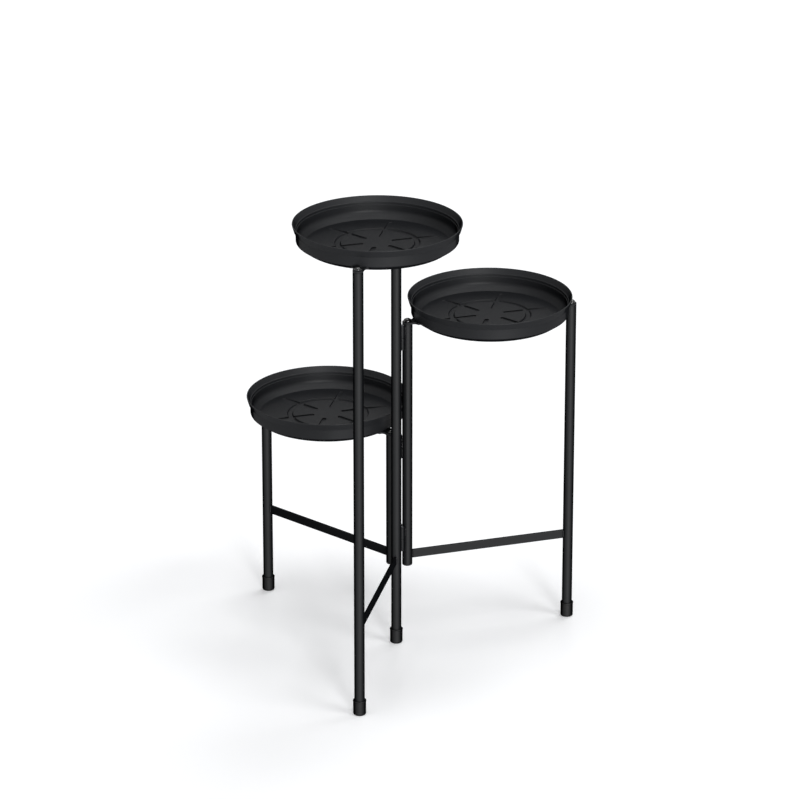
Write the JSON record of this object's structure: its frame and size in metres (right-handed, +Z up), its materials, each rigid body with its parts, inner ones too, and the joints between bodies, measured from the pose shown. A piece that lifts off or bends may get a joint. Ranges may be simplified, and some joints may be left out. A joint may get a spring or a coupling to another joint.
{
  "type": "folding tiered plant stand",
  "caption": "Folding plant stand: upright tubular steel frames hinged round a central hub, each carrying a round moulded saucer at its own height.",
  "frame": {"origin": "centre of the tall frame's rear foot, on the floor", "axes": "+Z up; the tall frame runs along -Y from the origin, the middle frame at 30 degrees and the low frame at 150 degrees from +X"},
  "size_m": [0.5104, 0.493, 0.742],
  "materials": {
    "powder_coated_steel": "satin black powder coat on steel tube and flat bar",
    "saucer_plastic": "black injection-moulded polypropylene with a fine satin grain",
    "gloss_black_screw": "gloss black enamelled dome head",
    "foot_rubber": "matt black moulded rubber",
    "plug_plastic": "black moulded polyethylene",
    "insert_plastic": "black moulded nylon",
    "pin_steel": "blackened steel rivet pin"
  },
  "bodies": {
    "tall_frame": {"tall_front_leg": "powder_coated_steel", "tall_rear_leg": "powder_coated_steel", "tall_brace": "powder_coated_steel", "tall_front_foot": "foot_rubber", "tall_rear_foot": "foot_rubber", "top_saucer": "saucer_plastic", "top_inner_insert": "insert_plastic", "top_inner_screw": "gloss_black_screw", "top_outer_insert": "insert_plastic", "top_outer_screw": "gloss_black_screw", "middle_lower_fixed_knuckle": "powder_coated_steel", "middle_lower_hinge_pin": "pin_steel", "middle_upper_fixed_knuckle": "powder_coated_steel", "middle_upper_hinge_pin": "pin_steel"},
    "middle_frame": {"middle_outer_leg": "powder_coated_steel", "middle_inner_post": "powder_coated_steel", "middle_brace": "powder_coated_steel", "middle_outer_foot": "foot_rubber", "middle_end_plug": "plug_plastic", "middle_saucer": "saucer_plastic", "middle_inner_insert": "insert_plastic", "middle_inner_screw": "gloss_black_screw", "middle_outer_insert": "insert_plastic", "middle_outer_screw": "gloss_black_screw", "middle_lower_swinging_knuckle": "powder_coated_steel", "middle_upper_swinging_knuckle": "powder_coated_steel", "low_lower_fixed_knuckle": "powder_coated_steel", "low_lower_hinge_pin": "pin_steel", "low_upper_fixed_knuckle": "powder_coated_steel", "low_upper_hinge_pin": "pin_steel"},
    "low_frame": {"low_outer_leg": "powder_coated_steel", "low_inner_post": "powder_coated_steel", "low_brace": "powder_coated_steel", "low_outer_foot": "foot_rubber", "low_end_plug": "plug_plastic", "low_saucer": "saucer_plastic", "low_inner_insert": "insert_plastic", "low_inner_screw": "gloss_black_screw", "low_outer_insert": "insert_plastic", "low_outer_screw": "gloss_black_screw", "low_lower_swinging_knuckle": "powder_coated_steel", "low_upper_swinging_knuckle": "powder_coated_steel"}
  },
  "joints": [
    {"name": "middle_fold", "type": "hinge", "parent": "tall_frame", "child": "middle_frame", "pos_m": [0.0064, 0.01109, 0.488], "axis": [0, 0, 1], "range_deg": [-95, 20]},
    {"name": "low_fold", "type": "hinge", "parent": "middle_frame", "child": "low_frame", "pos_m": [0, 0.02217, 0.303], "axis": [0, 0, 1], "range_deg": [-95, 20]}
  ]
}
